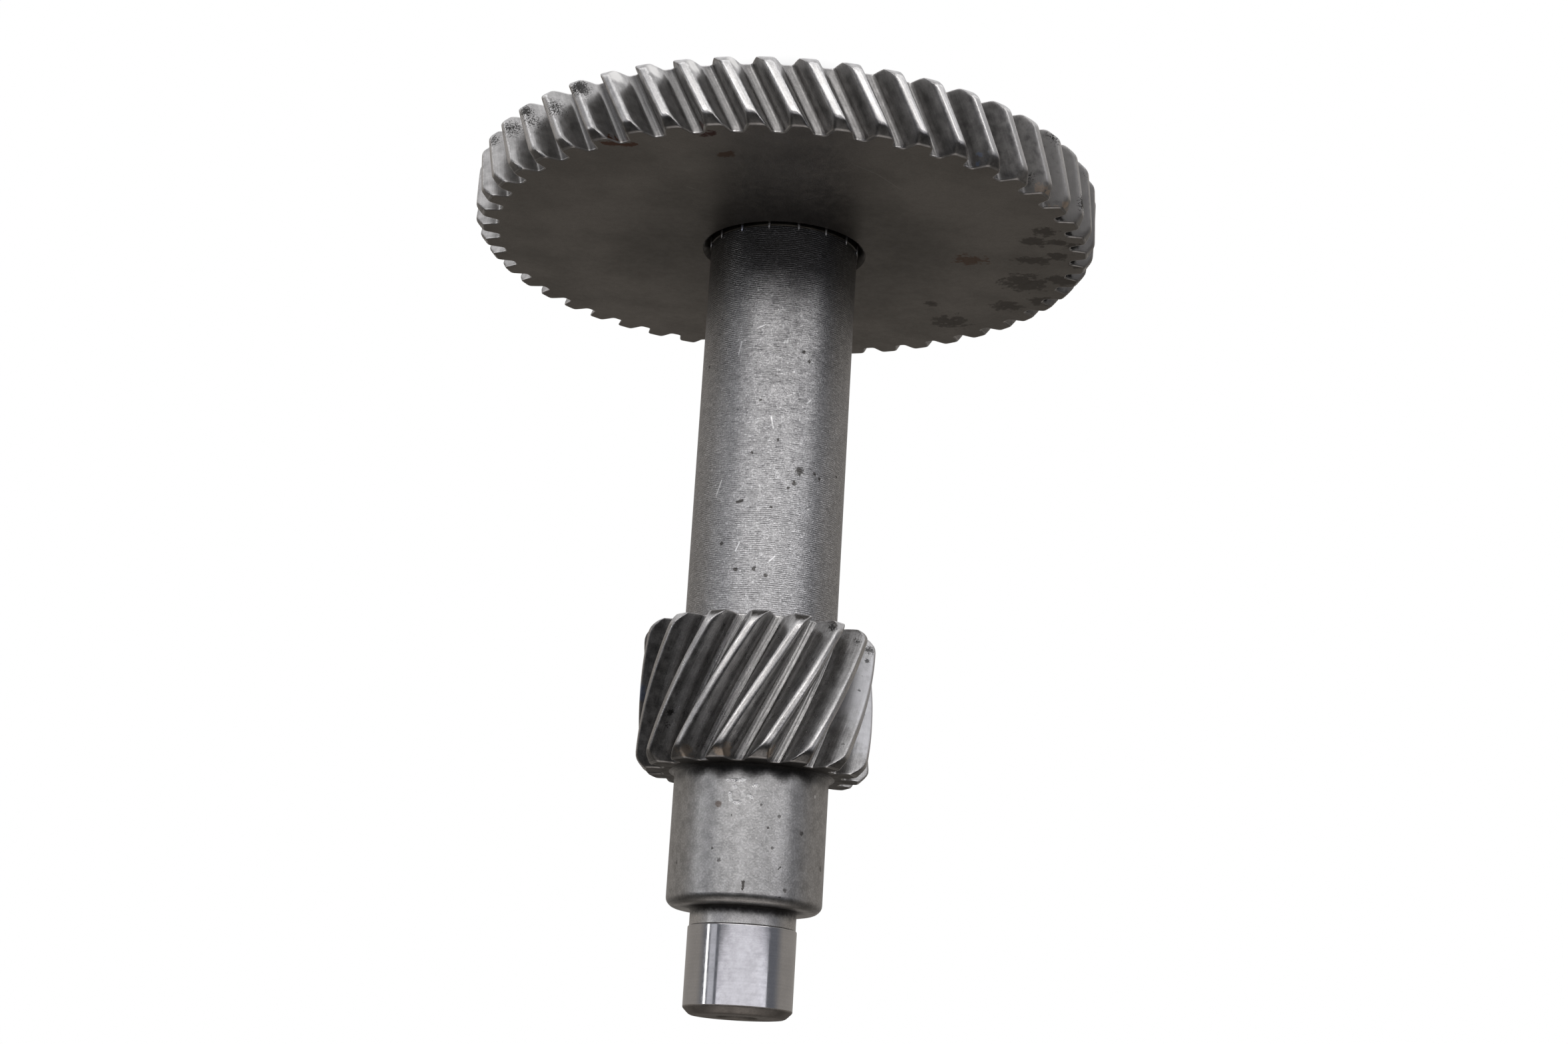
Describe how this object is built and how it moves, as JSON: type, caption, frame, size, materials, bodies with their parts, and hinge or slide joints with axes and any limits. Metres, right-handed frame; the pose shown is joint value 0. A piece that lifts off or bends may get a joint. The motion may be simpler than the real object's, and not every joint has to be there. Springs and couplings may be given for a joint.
{
  "type": "transmission shaft",
  "caption": "Compound transmission shaft with bearing journals at both ends, an integral helical pinion and a larger helical gear pressed on near the lower end.",
  "frame": {"origin": "middle of the lower end face, on which the shaft stands", "axes": "+Z along the axis of the shaft, from the short journal under the large gear to the journal at the free end"},
  "size_m": [0.1032, 0.1032, 0.1544],
  "materials": {
    "shaft_steel": "turned and ground steel, satin, bright journal",
    "gear_steel": "hardened gear steel, dark turned face, bright tooth lands"
  },
  "bodies": {
    "root": {"pinion_shaft": "shaft_steel", "large_gear": "gear_steel"}
  },
  "joints": []
}
